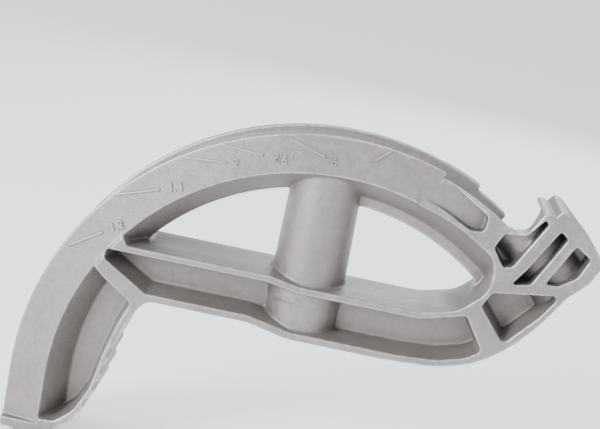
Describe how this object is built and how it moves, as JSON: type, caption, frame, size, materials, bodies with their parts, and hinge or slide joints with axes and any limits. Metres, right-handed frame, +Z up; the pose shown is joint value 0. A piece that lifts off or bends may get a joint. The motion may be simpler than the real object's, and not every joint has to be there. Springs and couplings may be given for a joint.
{
  "type": "conduit bender head",
  "caption": "Cast aluminium hand bender head for thin-wall conduit: grooved arc shoe, foot pedal, side-opening hook and a threaded socket for a pipe handle.",
  "frame": {"origin": "centre of the handle socket's mouth, on its axis", "axes": "+Z up the handle socket from its mouth towards the arc, +X from the pedal towards the hook, Y across the thickness with the hook's solid arm and the marked face at -Y and the conduit's way in at +Y"},
  "size_m": [0.3091, 0.048, 0.2033],
  "materials": {
    "cast_aluminium": "as cast, satin, slightly warm light grey with a fine sand texture"
  },
  "bodies": {
    "root": {"toe_shoe": "cast_aluminium", "shoe_lower_left": "cast_aluminium", "shoe_left": "cast_aluminium", "shoe_upper_left": "cast_aluminium", "shoe_crown": "cast_aluminium", "shoe_right": "cast_aluminium", "shoe_hook_end": "cast_aluminium", "pedal_web": "cast_aluminium", "pedal_tread": "cast_aluminium", "divider_rib": "cast_aluminium", "brace_web_left": "cast_aluminium", "brace_lower_flange_left": "cast_aluminium", "brace_upper_flange_left": "cast_aluminium", "socket_boss": "cast_aluminium", "handle_socket": "cast_aluminium", "brace_web_right": "cast_aluminium", "brace_lower_flange_right": "cast_aluminium", "brace_upper_flange_right": "cast_aluminium", "heel_rib": "cast_aluminium", "gusset_web": "cast_aluminium", "gusset_rim": "cast_aluminium", "hook_shelf": "cast_aluminium", "hook_jaw": "cast_aluminium", "hook_rib": "cast_aluminium", "hook_nose": "cast_aluminium"}
  },
  "joints": []
}
